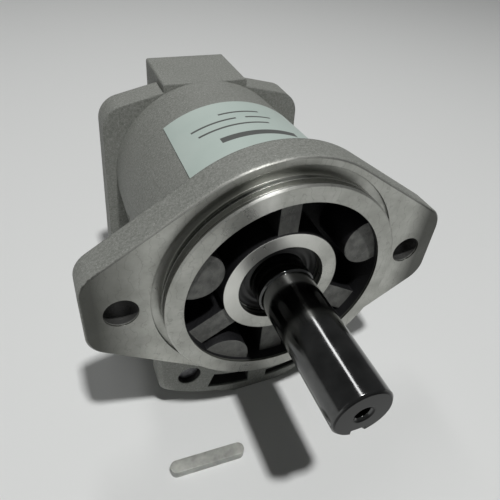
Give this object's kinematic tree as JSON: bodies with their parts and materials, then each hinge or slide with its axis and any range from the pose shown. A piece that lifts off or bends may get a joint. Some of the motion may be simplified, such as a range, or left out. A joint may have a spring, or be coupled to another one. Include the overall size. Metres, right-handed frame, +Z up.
{
  "type": "hydraulic motor",
  "caption": "External gear hydraulic motor with a two-bolt pilot flange, a keyed parallel shaft, side work ports and a rear cover.",
  "frame": {"origin": "centre of the two-bolt pattern, where the shaft axis meets the flange's mounting face", "axes": "-Y along the drive shaft out of the flange, +X to the right seen facing the shaft end, +Z up"},
  "size_m": [0.13, 0.1682, 0.1152],
  "materials": {
    "casting": "satin",
    "cover_casting": "satin",
    "blackened_steel": "gloss",
    "ground_steel": "satin",
    "block_alloy": "satin",
    "bush_bronze": "satin",
    "seal_rubber": "matte",
    "backup_plastic": "matte",
    "fastener_steel": "satin",
    "key_steel": "satin",
    "label_film": "satin"
  },
  "bodies": {
    "housing": {"motor_housing": "casting", "rear_cover": "cover_casting", "front_bearing_block": "block_alloy", "rear_bearing_block": "block_alloy", "front_drive_bush": "bush_bronze", "rear_drive_bush": "bush_bronze", "front_driven_bush": "bush_bronze", "rear_driven_bush": "bush_bronze", "front_block_seal": "seal_rubber", "front_backup_ring": "backup_plastic", "rear_block_seal": "seal_rubber", "rear_backup_ring": "backup_plastic", "cover_seal": "seal_rubber", "dowel_pins": "ground_steel", "cover_screws": "fastener_steel", "screw_washers": "fastener_steel", "shaft_seal_lip": "seal_rubber", "shaft_seal_case": "ground_steel", "seal_spring": "ground_steel", "seal_support_washer": "ground_steel", "rating_label": "label_film"},
    "drive": {"drive_gear_shaft": "blackened_steel"},
    "driven": {"driven_gear_shaft": "ground_steel"},
    "key": {"shaft_key": "key_steel"}
  },
  "joints": [
    {"name": "drive_spin", "type": "hinge", "parent": "housing", "child": "drive", "pos_m": [0, 0, 0], "axis": [0, 1, 0], "continuous": true},
    {"name": "driven_spin", "type": "hinge", "parent": "housing", "child": "driven", "pos_m": [0, 0, -0.034], "axis": [0, 1, 0], "continuous": true},
    {"name": "key_lift", "type": "slide", "parent": "housing", "child": "key", "axis": [0, 0, 1], "range_m": [0, 0.03]}
  ],
  "couplings": [
    {"joint": "driven_spin", "follows": "drive_spin", "ratio": -1}
  ]
}
